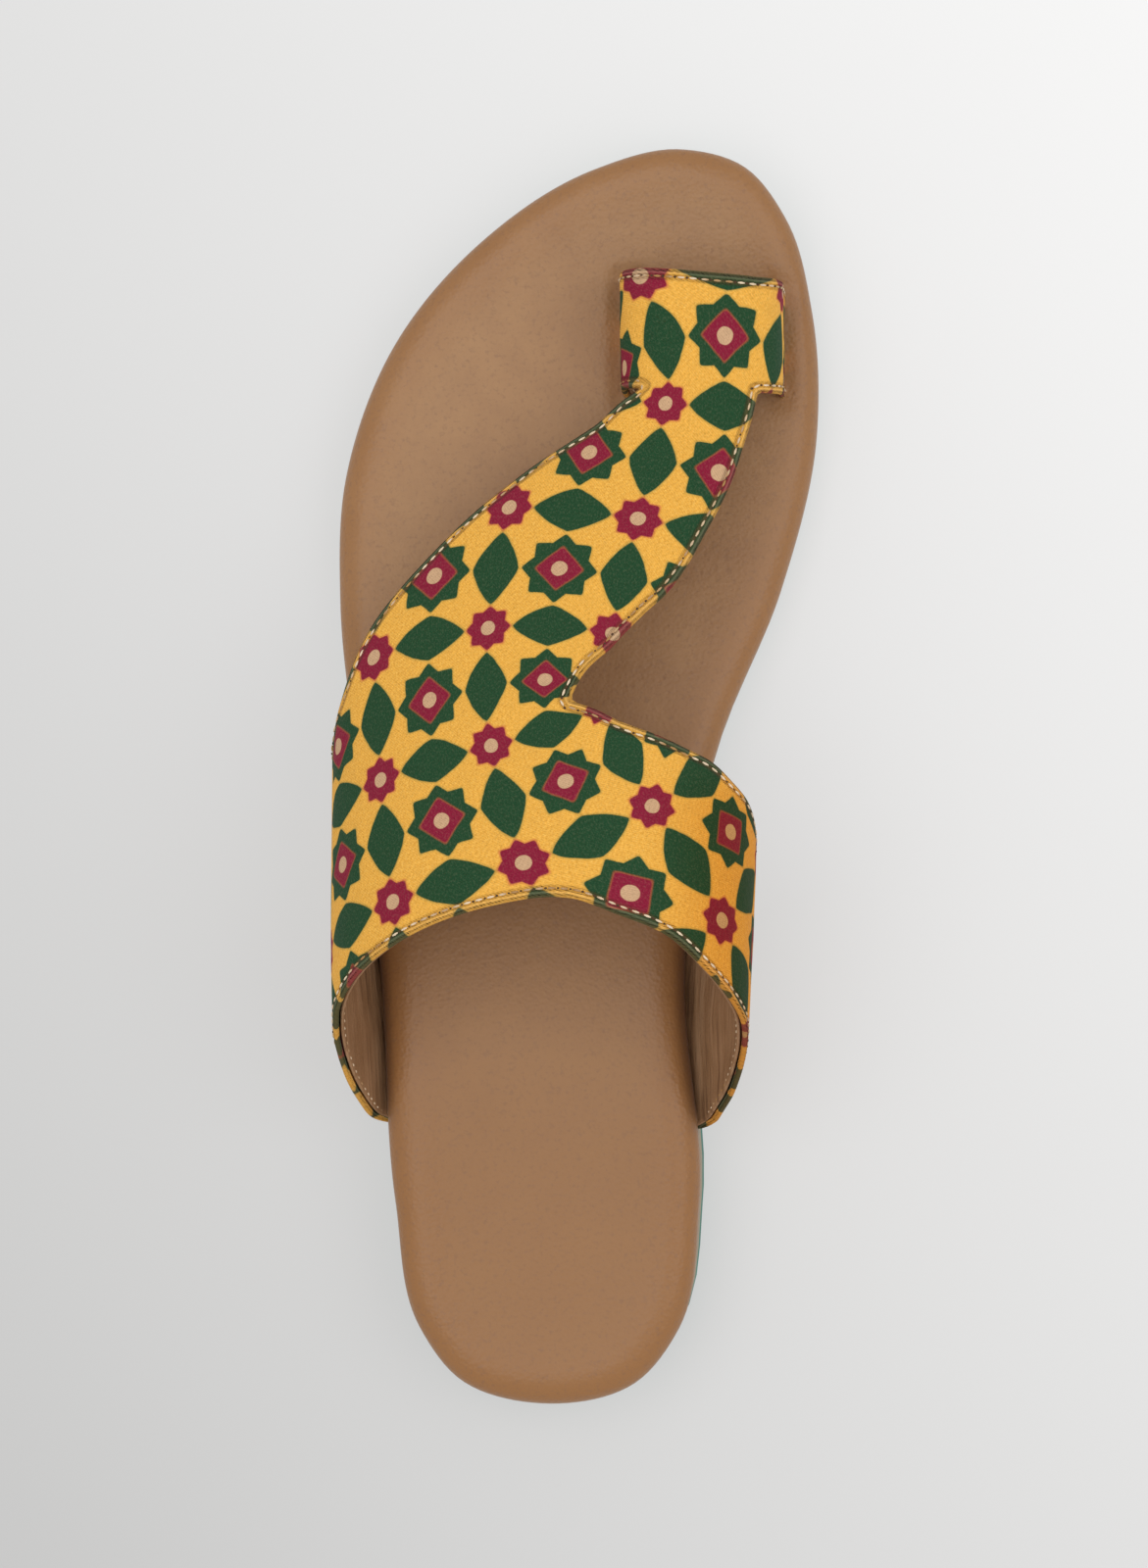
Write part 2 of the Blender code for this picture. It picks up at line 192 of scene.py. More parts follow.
rubber, start, place = new_finish("teal_rubber", Specular_IOR_Level=0.35)
x, y, z = place.parts()
mottle = place.cloud(0.012, 3)
teal = mottle.ramp((0.3, DARK_TEAL), (0.7, LIGHT_TEAL))
fall = y.clear_below(FALL_FROM * LENGTH - HEEL_REST, FALL_TO * LENGTH - HEEL_REST)
layer_top = (HEEL_HEIGHT - FOOTBED_THICK) - fall * (HEEL_HEIGHT - BALL_HEIGHT)
past_ball = (y - (SPRING_FROM * LENGTH - HEEL_REST)).math("MAXIMUM", 0.0) / ((1 - SPRING_FROM) * LENGTH)
spring = past_ball.math("POWER", SPRING_POWER) * TOE_SPRING
pale_layer = (z - spring - layer_top * TEAL_SHARE).clear_below(-0.0003, 0.0003)
teal = teal.blend(pale_layer * 0.95, PALE_STONE)
dust = place.cloud(0.004, 4).clear_below(0.45, 0.75) * (1 - z.clear_below(0.000, 0.006)) * 0.35
teal = teal.blend(dust, FLOOR_DUST)
ribs = (y * (2 * pi / RIB_PITCH)).math("SINE") * (1 - z.clear_below(0.0003, 0.0010))
skin_grain = place.cloud(0.0006, 3)
set_finish(rubber, Base_Color=teal, Roughness=mottle * 0.15 + 0.58,
           Normal=relief(start, (skin_grain, 0.00010), (ribs * 0.5 + 0.5, 0.00030)))
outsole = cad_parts["outsole"]
outsole.data.materials.clear()
outsole.data.materials.append(rubber)
outsole.data.shade_smooth()
joined = outsole.modifiers.new("joined_faces", "WELD")
joined.merge_threshold = 0.00001


# Footbed
# A padded board wrapped in smooth tan leather, its edge round and drawn in over the outsole. The
# leather dips where the toe loop goes down through it, and grows darker and more orange towards the
# edge. Painted shade darkens it in the crease beside the upper's band.
BALL_WIDTH = 0.1035
EDGE_ROUND_IN = 0.0070
EDGE_ROUND_DOWN = 0.0048
EDGE_TUCK_IN = 0.0034
EDGE_ROLL = 0.00008
UNDERSIDE_UP = 0.0002
UNEVEN = 0.00018
BAND_SHADE_WIDE = 0.0032
DRAWN_DOWN = 0.0010
DRAWN_FROM = 0.0042
WALL = 0.0024
HEEL_CUP = 0.0010
# The cup's place and half lengths, as shares of the length and of the ball's width.
CUP_MIDDLE = 0.14
CUP_LONG = 0.17
CUP_WIDE = 0.30
DARK_TAN = (0.328, 0.170, 0.075)
LIGHT_TAN = (0.402, 0.221, 0.100)
HEEL_TAN = (0.292, 0.134, 0.046)
EDGE_TAN = (0.306, 0.134, 0.040)
BAND_SHADE_COLOUR = (0.080, 0.040, 0.020)
PORE_BROWN = (0.200, 0.105, 0.060)
PORE_SIZE = 0.0008
OUTLINE = (
    # along, across
    (0.002, -0.010), (0.021, 0.193), (0.062, 0.276), (0.161, 0.319), (0.339, 0.288), (0.441, 0.304),
    (0.527, 0.358), (0.649, 0.486), (0.771, 0.560), (0.872, 0.550), (0.943, 0.498), (0.984, 0.412),
    (0.998, 0.283), (0.983, 0.098), (0.932, -0.125), (0.842, -0.331), (0.740, -0.428), (0.640, -0.439),
    (0.522, -0.405), (0.339, -0.344), (0.161, -0.313), (0.062, -0.263), (0.021, -0.180),
)
BAND_BASE = (
    # side, rear, front
    (-1, 0.215, 0.480),
    (1, 0.210, 0.390),
)
LOOP_LEGS = (
    # side, inside of the leg across, rear, front
    (-1, 0.182, 0.802, 0.896),
    (1, 0.4715, 0.802, 0.888),
)


def smooth(t):
    """0 under 0, 1 over 1, smooth between."""
    t = min(max(t, 0.0), 1.0)
    return t * t * (3 - 2 * t)


def spline(knots, rows):
    """Smooth curve through rows of values at rising knots, as a function."""
    points = [Vector(row) for row in rows]
    steps = [b - a for a, b in zip(knots, knots[1:])]
    rates = [(b - a) / step for a, b, step in zip(points, points[1:], steps)]
    slopes = [rates[0]]
    for i in range(1, len(rates)):
        share = steps[i] / (steps[i - 1] + steps[i])
        slopes.append(rates[i - 1] * share + rates[i] * (1 - share))
    slopes.append(rates[-1])

    def at(t):
        t = min(max(t, knots[0]), knots[-1])
        i = min(bisect_right(knots, t) - 1, len(rates) - 1)
        u = (t - knots[i]) / steps[i]
        ends = points[i] * (1 + 2 * u) * (1 - u) ** 2 + points[i + 1] * (3 - 2 * u) * u * u
        lean = slopes[i] * u * (1 - u) ** 2 - slopes[i + 1] * u * u * (1 - u)
        return ends + lean * steps[i]
    return at


def run_lengths(points):
    """Distance of each point from the first, along the line."""
    lengths = [0.0]
    for a, b in zip(points, points[1:]):
        lengths.append(lengths[-1] + (Vector(b) - Vector(a)).length)
    return lengths


def evenly(points, count):
    """The same line read at evenly spaced points."""
    runs = run_lengths(points)
    spaced = []
    for i in range(count + 1):
        want = runs[-1] * i / count
        j = min(bisect_right(runs, want) - 1, len(points) - 2)
        spaced.append(points[j].lerp(points[j + 1], (want - runs[j]) / (runs[j + 1] - runs[j])))
    return spaced


def footbed_outline(count):
    """The footbed from above, as a closed ring of evenly spaced points."""
    points = [(x * BALL_WIDTH, y * LENGTH) for y, x in OUTLINE]
    wrapped = points[-3:] + points + points[:4]
    lengths = run_lengths(wrapped)
    curve = spline(lengths, wrapped)
    start, end = lengths[3], lengths[3 + len(points)]
    return evenly([curve(start + (end - start) * i / 2000) for i in range(2001)], count)[:-1]


def outline_side(side):
    """The outline's x on one side, as a function of y."""
    ring = footbed_outline(720)
    toe = max(range(len(ring)), key=lambda i: ring[i].y)
    edge = sorted(ring[:toe + 1] if side > 0 else ring[toe:], key=lambda p: p.y)
    heights = [p.y for p in edge]

    def at(y):
        i = min(max(bisect_right(heights, y) - 1, 0), len(edge) - 2)
        share = (y - heights[i]) / max(heights[i + 1] - heights[i], 1e-9)
        return edge[i].x + (edge[i + 1].x - edge[i].x) * min(max(share, 0.0), 1.0)
    return at


EDGE_X = {1: outline_side(1), -1: outline_side(-1)}


def top_height(y):
    """Height of the footbed's top along the shoe."""
    along = y / LENGTH
    fall = smooth((along - FALL_FROM) / (FALL_TO - FALL_FROM))
    lift = TOE_SPRING * max(0.0, (along - SPRING_FROM) / (1 - SPRING_FROM)) ** SPRING_POWER
    return BALL_HEIGHT + (HEEL_HEIGHT - BALL_HEIGHT) * (1 - fall) + lift


def pressed(x, y):
    """How far the leather is drawn down beside the toe loop's two legs."""
    depth = 0.0
    for side, inside, rear, front in LOOP_LEGS:
        across = abs(x - inside * BALL_WIDTH - side * WALL / 2) - WALL / 2
        ahead = max(rear * LENGTH - y, y - front * LENGTH)
        away = hypot(max(across, 0.0), max(ahead, 0.0))
        depth = max(depth, DRAWN_DOWN * (1 - smooth(away / DRAWN_FROM)))
    return depth


def leather_top(x, y):
    """Height of the leather, with the heel's cup and its soft unevenness."""
    off = ((y / LENGTH - CUP_MIDDLE) / CUP_LONG) ** 2 + (x / BALL_WIDTH / CUP_WIDE) ** 2
    cup = HEEL_CUP * (1 - smooth(off))
    soft = UNEVEN * noise.noise(Vector((x / 0.022, y / 0.030, 1.7)))
    from_edge = outline_tree.find((x, y, 0))[2]
    roll = EDGE_ROLL * (1 - smooth(abs(from_edge - 0.0080) / 0.0060))
    return top_height(y) - cup - pressed(x, y) + soft + roll


def beside_band(x, y):
    """1 in the crease between the footbed's edge and the upper's band, 0 away from it: where the leather gets
    painted shade.
    """
    share = 0.0
    for side, rear, front in BAND_BASE:
        inside = side * (EDGE_X[side](y) - x)
        ends = smooth((y / LENGTH - rear) / 0.03) * smooth((front - y / LENGTH) / 0.03)
        share = max(share, ends * (1 - smooth(inside / BAND_SHADE_WIDE)))
    return share


def lay_grid(mesh, rows):
    """A grid of mesh laid through rows of places."""
    grid = bmesh.ops.create_grid(mesh, x_segments=len(rows[0]) - 1, y_segments=len(rows) - 1, size=1)
    for vert, point in zip(grid["verts"], (point for row in rows for point in row)):
        vert.co = point
    return grid["verts"]


def into_object(name, mesh, *finishes):
    """The finished mesh as a piece, moved so that the origin lies under the heel's rest."""
    bmesh.ops.translate(mesh, verts=mesh.verts, vec=(0, -HEEL_REST, 0))
    data = bpy.data.meshes.new(name)
    mesh.to_mesh(data)
    mesh.free()
    for finish in finishes:
        data.materials.append(finish)
    data.shade_smooth()
    piece = bpy.data.objects.new(name, data)
    bpy.context.scene.collection.objects.link(piece)
    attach(piece, "root")
    return piece


def footbed_ring(ring, inset, share, height):
    """One ring of the footbed: the outline moved in, then drawn towards the middle line."""
    points = []
    for i, point in enumerate(ring):
        run = (ring[(i + 1) % len(ring)] - ring[i - 1]).normalized()
        moved = point + Vector((-run.y, run.x)) * inset
        y = min(max(moved.y, 0.10 * LENGTH), 0.86 * LENGTH)
        moved = moved.lerp(Vector(((EDGE_X[1](y) + EDGE_X[-1](y)) / 2, y)), share)
        points.append(Vector((moved.x, moved.y, height(moved))))
    return points + points[:1]


SIDE = FOOTBED_THICK - EDGE_ROUND_DOWN
ring = footbed_outline(330)
close_ring = footbed_outline(3 * len(ring))
outline_tree = KDTree(len(close_ring))
for i, point in enumerate(close_ring):
    outline_tree.insert((point.x, point.y, 0), i)
outline_tree.balance()
rings = []
for share in (0.9, 0.45, 0.12, 0):
    rings.append(footbed_ring(ring, EDGE_TUCK_IN, share,
                              lambda p: top_height(p.y) - FOOTBED_THICK + UNDERSIDE_UP))
for under in (0.12, 0.3, 0.5, 0.75, 1.0):
    rings.append(footbed_ring(ring, EDGE_TUCK_IN * (1 - under) ** 2, 0,
                              lambda p: top_height(p.y) - FOOTBED_THICK + SIDE * under))
for turn in range(10, 91, 8):
    rings.append(footbed_ring(ring, EDGE_ROUND_IN * (1 - cos(radians(turn))), 0,
                              lambda p: leather_top(p.x, p.y) - EDGE_ROUND_DOWN * (1 - sin(radians(turn)))))
for i in range(1, 37):
    rings.append(footbed_ring(ring, EDGE_ROUND_IN, 0.98 * i / 36, lambda p: leather_top(p.x, p.y)))
leather = bmesh.new()
lay_grid(leather, rings)
for last in (rings[0], rings[-1]):
    across = zip(last[:len(ring) // 2 + 1], last[:len(ring) // 2 - 1:-1])
    lay_grid(leather, [[a.lerp(b, i / 4) for i in range(5)] for a, b in across])
bmesh.ops.remove_doubles(leather, verts=leather.verts, dist=1e-6)
bmesh.ops.recalc_face_normals(leather, faces=leather.faces)
edge_layer = leather.verts.layers.float.new("edge_rub")
crease = leather.verts.layers.float.new("band_crease")
for vert in leather.verts:
    vert[edge_layer] = outline_tree.find((vert.co.x, vert.co.y, 0))[2]
    vert[crease] = beside_band(vert.co.x, vert.co.y)

tan, start, place = new_finish("tan_leather", Specular_IOR_Level=0.42, Sheen_Weight=0.06, Sheen_Roughness=0.5)
x, y, z = place.parts()
from_edge = start.node("ShaderNodeAttribute", {"attribute_name": "edge_rub"}, {}, "Fac")
broad = place.cloud(0.050, 2)
patchy = place.cloud(0.009, 4, 0.6)
hide = (broad * 0.5 + patchy * 0.5).ramp((0.34, DARK_TAN), (0.66, LIGHT_TAN))
heel_side = 1 - y.clear_below(-0.010, 0.150)
hide = hide.blend(heel_side * 0.70, HEEL_TAN)
# The leather grows darker and more orange over the last 15 mm to the edge, and a little glossier there.
near_edge = 1 - from_edge.clear_below(0.0005, 0.0150)
hide = hide.blend(near_edge * 0.68, EDGE_TAN)
# Painted shade: the leather darkened in the crease beside the upper's band.
band_shade = start.node("ShaderNodeAttribute", {"attribute_name": "band_crease"}, {}, "Fac")
hide = hide.blend(band_shade * 0.62, BAND_SHADE_COLOUR)
pores = place.cloud(0.0010, 3, 0.6).clear_below(0.50, 0.74)
hide = hide.blend(pores * 0.36, PORE_BROWN)
cells = start.node("ShaderNodeTexVoronoi", {"feature": "SMOOTH_F1"},
                   {"Vector": place, "Scale": 1 / PORE_SIZE, "Smoothness": 0.6, "Randomness": 1.0})
fold = place.cloud(0.006, 4, 0.55, (1.0, 0.55, 1.0))
set_finish(tan, Base_Color=hide, Roughness=patchy * 0.14 + (near_edge * -0.12 + 0.42),
           Normal=relief(start, (fold, 0.00014), (cells, 0.00009)))
footbed = into_object("footbed_leather", leather, tan)
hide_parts("footbed")


# Upper: printed cloth
# One piece of woven printed cloth folded over every edge of the band, the strap and the toe loop, and
# drawn tight over the last. It is cut flat, so its print runs over the whole upper unbroken.
INSTEP_HEIGHT = 0.0560
SIDE_GAP = 0.0006
CLOTH_THICK = 0.0013
CLOTH_UNEVEN = 0.00022
# Round the arch, the widest place and the place past which an edge is tucked in and not sewn.
WIDEST = 0.62
LOW_END = 0.999
STATIONS = (
    # along, crown_x, crown_h, lat_x, lat_h, med_x, med_h, lat_full, med_full
    (0.16, 0.075, 1.14, -0.350, 0.40, 0.375, 0.50, 1.9, 2.3),
    (0.32, 0.085, 1.07, -0.390, 0.40, 0.410, 0.50, 1.9, 2.3),
    (0.44, 0.100, 0.94, -0.400, 0.34, 0.420, 0.44, 1.9, 2.3),
    (0.54, 0.130, 0.76, -0.408, 0.22, 0.420, 0.30, 1.8, 2.2),
    (0.64, 0.190, 0.61, -0.420, 0.08, 0.440, 0.16, 1.65, 2.1),
    (0.725, 0.250, 0.490, -0.160, 0.08, 0.468, 0.14, 2.0, 2.3),
    (0.760, 0.288, 0.430, 0.012, 0.10, 0.470, 0.15, 2.5, 2.6),
    (0.790, 0.322, 0.399, 0.124, 0.14, 0.4715, 0.16, 2.9, 2.9),
    (0.800, 0.3268, 0.395, 0.182, 0.16, 0.4715, 0.16, 3.0, 3.0),
    (0.804, 0.3268, 0.395, 0.182, 0.16, 0.4715, 0.16, 3.0, 3.0),
    (0.93, 0.3268, 0.380, 0.182, 0.16, 0.4715, 0.16, 3.0, 3.0),
)
REAR_EDGE = (
    # round, along
    (-1.00, 0.222), (-0.90, 0.233), (-0.80, 0.250), (-0.70, 0.272), (-0.62, 0.294), (-0.472, 0.335),
    (-0.331, 0.368), (-0.125, 0.401), (-0.031, 0.408), (0.116, 0.3945), (0.230, 0.379), (0.325, 0.3555),
    (0.422, 0.3334), (0.62, 0.296), (0.80, 0.253), (0.90, 0.234), (1.00, 0.217),
)
FRONT_EDGE = (
    # round, along
    (-1.00, 0.474), (-0.80, 0.494), (-0.62, 0.526), (-0.483, 0.577), (-0.418, 0.617), (-0.368, 0.660),
    (-0.346, 0.701), (-0.326, 0.722), (-0.314, 0.744), (-0.300, 0.760), (-0.274, 0.776), (-0.278, 0.799),
)
STRAP_EDGE = (
    # round, along
    (-0.041, 0.555), (-0.031, 0.573), (0.000, 0.595), (0.063, 0.621), (0.127, 0.642), (0.168, 0.6645),
    (0.201, 0.689), (0.234, 0.714), (0.253, 0.732), (0.264, 0.755), (0.274, 0.775), (0.285, 0.798),
)
WING_EDGE = (
    # round, along
    (-0.041, 0.555), (0.052, 0.541), (0.184, 0.527), (0.254, 0.518), (0.316, 0.5106), (0.413, 0.493),
    (0.498, 0.4795), (0.62, 0.456), (0.80, 0.420), (1.00, 0.385),
)
LOOP_REAR = 0.802
LOOP_FRONT_LATERAL = 0.896
LOOP_FRONT_MEDIAL = 0.888
STRAP_START = -0.55
SECTION = spline([row[0] for row in STATIONS], [row[1:] for row in STATIONS])
CREASES = (
    # from round, along, to round, along, width, rise over the wall
    (-0.250, 0.806, -0.080, 0.812, 0.0034, -0.00035),
    (0.290, 0.800, 0.120, 0.815, 0.0030, -0.00045),
    (-0.260, 0.783, -0.060, 0.778, 0.0040, 0.00035),
    (-0.040, 0.562, -0.190, 0.598, 0.0050, -0.00050),
    (-0.045, 0.550, -0.230, 0.540, 0.0050, 0.00045),
    (-0.060, 0.536, -0.240, 0.500, 0.0060, -0.00045),
    (0.040, 0.890, 0.050, 0.862, 0.0030, -0.00040),
    (-0.250, 0.888, -0.200, 0.860, 0.0026, 0.00030),
    (0.680, 0.400, 0.960, 0.330, 0.0050, 0.00055),
    (0.700, 0.350, 0.960, 0.290, 0.0045, -0.00050),
    (0.700, 0.300, 0.940, 0.255, 0.0040, 0.00045),
    (-0.700, 0.460, -0.960, 0.430, 0.0050, -0.00050),
    (-0.690, 0.400, -0.960, 0.350, 0.0055, 0.00055),
    (-0.700, 0.340, -0.950, 0.290, 0.0045, -0.00050),
    (-0.560, 0.520, -0.430, 0.560, 0.0060, 0.00040),
    (-0.700, 0.850, -0.960, 0.842, 0.0034, -0.00040),
    (0.700, 0.850, 0.960, 0.858, 0.0034, -0.00040),
)


def inner(a, y):
    """Point of the upper's lining, a round the arch and y along the shoe."""
    along = y / LENGTH
    crown_x, crown_h, lat_x, lat_h, med_x, med_h, lat_full, med_full = SECTION(along)
    side, wide_x, wide_h, full = (1, med_x, med_h, med_full) if a > 0 else (-1, lat_x, lat_h, lat_full)
    crown_x, wide_x = crown_x * BALL_WIDTH, wide_x * BALL_WIDTH
    crown_h, wide_h = crown_h * INSTEP_HEIGHT, wide_h * INSTEP_HEIGHT
    top = top_height(y)
    if abs(a) <= WIDEST:
        turn = pi / 2 * abs(a) / WIDEST
        reach = (sin(turn) ** full + cos(turn) ** full) ** (-1 / full)
        return Vector((crown_x + (wide_x - crown_x) * sin(turn) * reach, y,
                       top + wide_h + (crown_h - wide_h) * cos(turn) * reach))
    down = (abs(a) - WIDEST) / (1 - WIDEST)
    base = top - FOOTBED_THICK
    z = top + wide_h + (base - top - wide_h) * down
    under = min(max((z - base) / (FOOTBED_THICK - EDGE_ROUND_DOWN), 0.0), 1.0)
    bulge = wide_x - EDGE_X[side](y) - side * SIDE_GAP
    x = EDGE_X[side](y) + side * (SIDE_GAP - EDGE_TUCK_IN * (1 - under) ** 2) + bulge * cos(pi / 2 * down)
    loop = smooth((along - 0.70) / 0.09)
    return Vector((x + (wide_x - x) * loop, y, z))


def outwards(a, y):
    """Direction in which the wall's thickness grows."""
    across = inner(min(a + 0.01, 1), y) - inner(max(a - 0.01, -1), y)
    ahead = inner(a, y + 0.0005) - inner(a, y - 0.0005)
    out = across.cross(ahead).normalized()
    out.z *= 1 - smooth((abs(a) - WIDEST) / 0.08)
    return out.normalized()


CREASE_STEPS = 24
crease_marks = []
for a, along, end_a, end_along, wide, rise in CREASES:
    for i in range(CREASE_STEPS + 1):
        run = i / CREASE_STEPS
        spot = inner(a + (end_a - a) * run, (along + (end_along - along) * run) * LENGTH)
        swell = sin(pi * (i + 1) / (CREASE_STEPS + 2)) ** 0.6
        crease_marks.append((spot, wide * (0.8 + 0.5 * run), rise * swell))
crease_tree = KDTree(len(crease_marks))
for i, mark in enumerate(crease_marks):
    crease_tree.insert(mark[0], i)
crease_tree.balance()


def on_upper(a, along, height):
    """Point of the upper at a height over the lining's face, with its creases and soft unevenness."""
    spot = inner(a, along * LENGTH)
    _, i, away = crease_tree.find(spot)
    _, wide, rise = crease_marks[i]
    free = 1 - smooth((abs(a) - 0.93) / 0.05)
    uneven = CLOTH_UNEVEN * noise.noise(spot / 0.011)
    return spot + outwards(a, along * LENGTH) * (height + free * (uneven + rise * (1 - smooth(away / wide))))


def edge_curve(table):
    """An edge of the upper as a function from 0 to 1, and its share where it lies at a round the arch."""
    lengths = run_lengths(table)
    curve = spline([length / lengths[-1] for length in lengths], table)

    def share_at(a):
        low, high = 0.0, 1.0
        for _ in range(40):
            middle = (low + high) / 2
            low, high = (middle, high) if curve(middle).x < a else (low, middle)
        return low
    return curve, share_at


def straight(first, last, count):
    """Evenly spaced points from the first to the last."""
    return [Vector(first).lerp(Vector(last), i / count) for i in range(count + 1)]


def fill_patch(bottom, top, left, right):
    """Rows of points between four edges that meet at their ends."""
    rows = []
    for j, (lo, hi) in enumerate(zip(left, right)):
        v = j / (len(left) - 1)
        row = []
        for i, (low, high) in enumerate(zip(bottom, top)):
            u = i / (len(bottom) - 1)
            corners = (bottom[0].lerp(bottom[-1], u)).lerp(top[0].lerp(top[-1], u), v)
            row.append(low.lerp(high, v) + lo.lerp(hi, u) - corners)
        rows.append(row)
    return rows


front, front_share = edge_curve(FRONT_EDGE)
rear, rear_share = edge_curve(REAR_EDGE)
notch, _ = edge_curve(STRAP_EDGE)
wing, wing_share = edge_curve(WING_EDGE)


def upper_patches(fine):
    """The upper as four-sided patches of (round, along) points that share their edges."""
    base = [1.0, 0.975, 0.95] + [0.95 - (0.95 - WIDEST) * i / (9 * fine) for i in range(1, 9 * fine + 1)]
    across, inside, deep, long, loop, legs = 13 * fine, 15 * fine, 16 * fine, 22 * fine, 8 * fine, 12 * fine
    start = front_share(STRAP_START)
    neck = straight(front(1), notch(1), across)
    crossing = straight(front(start), notch(0), across)
    ahead = [front(front_share(-a)) for a in base] + crossing
    for i in range(1, inside):
        ahead.append(wing(wing_share(crossing[-1].x + (WIDEST - crossing[-1].x) * i / inside)))
    ahead += [wing(wing_share(a)) for a in base[::-1]]
    behind = [rear(rear_share(p.x)) for p in ahead]
    band = [[low.lerp(high, j / deep) for low, high in zip(behind, ahead)] for j in range(deep + 1)]
    strap = fill_patch(crossing, neck, [front(start + (1 - start) * i / long) for i in range(long + 1)],
                       [notch(i / long) for i in range(long + 1)])
    left_front, right_front = Vector((neck[0].x, LOOP_FRONT_LATERAL)), Vector((neck[-1].x, LOOP_FRONT_MEDIAL))
    left, right = straight(neck[0], left_front, loop), straight(neck[-1], right_front, loop)
    top = fill_patch(neck, straight(left_front, right_front, across), left, right)
    outside = fill_patch(straight((-1, LOOP_REAR), neck[0], legs),
                         straight((-1, LOOP_FRONT_LATERAL), left_front, legs),
                         straight((-1, LOOP_REAR), (-1, LOOP_FRONT_LATERAL), loop), left)
    inside_leg = fill_patch(straight(neck[-1], (1, LOOP_REAR), legs),
                            straight(right_front, (1, LOOP_FRONT_MEDIAL), legs),
                            right, straight((1, LOOP_REAR), (1, LOOP_FRONT_MEDIAL), loop))
    return [band, strap, top, outside, inside_leg]


def lay_upper(height, fine, draw_in=0.0):
    """The upper's sheet at a height over the lining's face, its edges drawn in by a distance."""
    sheet = bmesh.new()
    low_end = sheet.verts.layers.float.new("low_end")
    for patch in upper_patches(fine):
        places = [[on_upper(p.x, p.y, height) for p in row] for row in patch]
        for vert, p in zip(lay_grid(sheet, places), (p for row in patch for p in row)):
            vert[low_end] = abs(p.x)
    bmesh.ops.remove_doubles(sheet, verts=sheet.verts, dist=1e-5)
    moves = []
    for vert in sheet.verts:
        inside = [edge.other_vert(vert) for edge in vert.link_edges if not edge.is_boundary]
        if draw_in and inside and vert.is_boundary and vert[low_end] < LOW_END:
            away = sum((v.co - vert.co for v in inside), Vector()) / len(inside)
            moves.append((vert, away.normalized() * draw_in))
    for vert, move in moves:
        vert.co += move
    return sheet, low_end


def free_rim(sheet, low_end):
    """Closely spaced points along the edges that are folded and stitched."""
    points = []
    for edge in sheet.edges:
        if edge.is_boundary and min(v[low_end] for v in edge.verts) < LOW_END:
            a, b = (v.co for v in edge.verts)
            points += [a.lerp(b, i / 4) for i in range(4)]
    tree = KDTree(len(points))
    for i, point in enumerate(points):
        tree.insert(point, i)
    tree.balance()
    return tree


cloth, low_end = lay_upper(WALL - CLOTH_THICK / 2, 2)
hem = cloth.verts.layers.float.new("hem")
rim_tree = free_rim(cloth, low_end)
for vert in cloth.verts:
    vert[hem] = rim_tree.find(vert.co)[2]
cloth_print, start, place = new_finish("printed_cloth", Specular_IOR_Level=0.10, Sheen_Weight=0.02,
                                       Sheen_Roughness=0.5)
upper_cloth = into_object("upper_cloth", cloth, cloth_print)

# The print: a flat cutting of the cloth is found first, then scaled and turned to lie true over the
# instep, so one repeat measures the same all over. Stars, lozenges and dots in green, burgundy and
# buff on yellow.
PRINT_REPEAT = 0.0240
PRINT_CENTRE = Vector((0.0339, 0.1916))
INK_WANDER = 0.016
# Sizes of the motifs in millimetres
REPEAT_MM = PRINT_REPEAT * 1000
LEAF_WIDE = 4.3
LEAF_TALL = 7.1
BIG_STAR = 5.1
SMALL_STAR = 3.2
CORE = 3.1
CORE_ROUND = 1.0
CORNER_ROUND = 0.9
BIG_DOT = 1.5
SMALL_DOT = 1.4
BOW = 1.28
DIAGONAL = 0.7071
YELLOWS = (0.25, (0.77, 0.370, 0.048)), (0.5, (0.885, 0.455, 0.070)), (0.8, (0.95, 0.545, 0.112))
GREEN = (0.010, 0.062, 0.024)
GREEN_HALO = (0.42, 0.300, 0.060)
BURGUNDY = (0.255, 0.008, 0.038)
BURGUNDY_HALO = (0.560, 0.090, 0.045)
BUFF = (0.620, 0.390, 0.225)
PALE_FIBRE = (0.80, 0.66, 0.42)
DARK_FIBRE = (0.13, 0.065, 0.024)
FLANK_SHADE = (0.84, 0.63, 0.34)
SEAM_SHADE = (0.24, 0.105, 0.03)
HEM_HIGHLIGHT = (0.88, 0.68, 0.42)
RIM_SHADE = (0.22, 0.10, 0.035)
YARN_PITCH = 0.00056
SEAM_IN = 0.0018
SEAM_WIDE = 0.0009
RIDGE_IN = 0.0008
RIDGE_WIDE = 0.0006
with bpy.context.temp_override(active_object=upper_cloth, object=upper_cloth, selected_objects=[upper_cloth]):
    bpy.context.view_layer.objects.active = upper_cloth
    bpy.ops.object.mode_set(mode="EDIT")
    bpy.ops.mesh.select_all(action="SELECT")
    bpy.ops.uv.unwrap(method="MINIMUM_STRETCH", margin=0.0)
    bpy.ops.object.mode_set(mode="OBJECT")
data = upper_cloth.data
flat = data.uv_layers.active.uv
pairs = []
for loop in data.loops:
    vert = data.vertices[loop.vertex_index]
    if vert.normal.z > 0.8:
        pairs.append((complex(vert.co.x, vert.co.y), complex(*flat[loop.index].vector)))
middle_real = sum(p for p, _ in pairs) / len(pairs)
middle_flat = sum(q for _, q in pairs) / len(pairs)
fits = []
for mirrored in (False, True):
    centred = [(p - middle_real, q - middle_flat) for p, q in pairs]
    if mirrored:
        centred = [(p, q.conjugate()) for p, q in centred]
    factor = sum(p * q.conjugate() for p, q in centred) / sum(abs(q) ** 2 for _, q in centred)
    fits.append((sum(abs(p - factor * q) ** 2 for p, q in centred), mirrored, factor))
_, mirrored, factor = min(fits, key=lambda fit: fit[0])
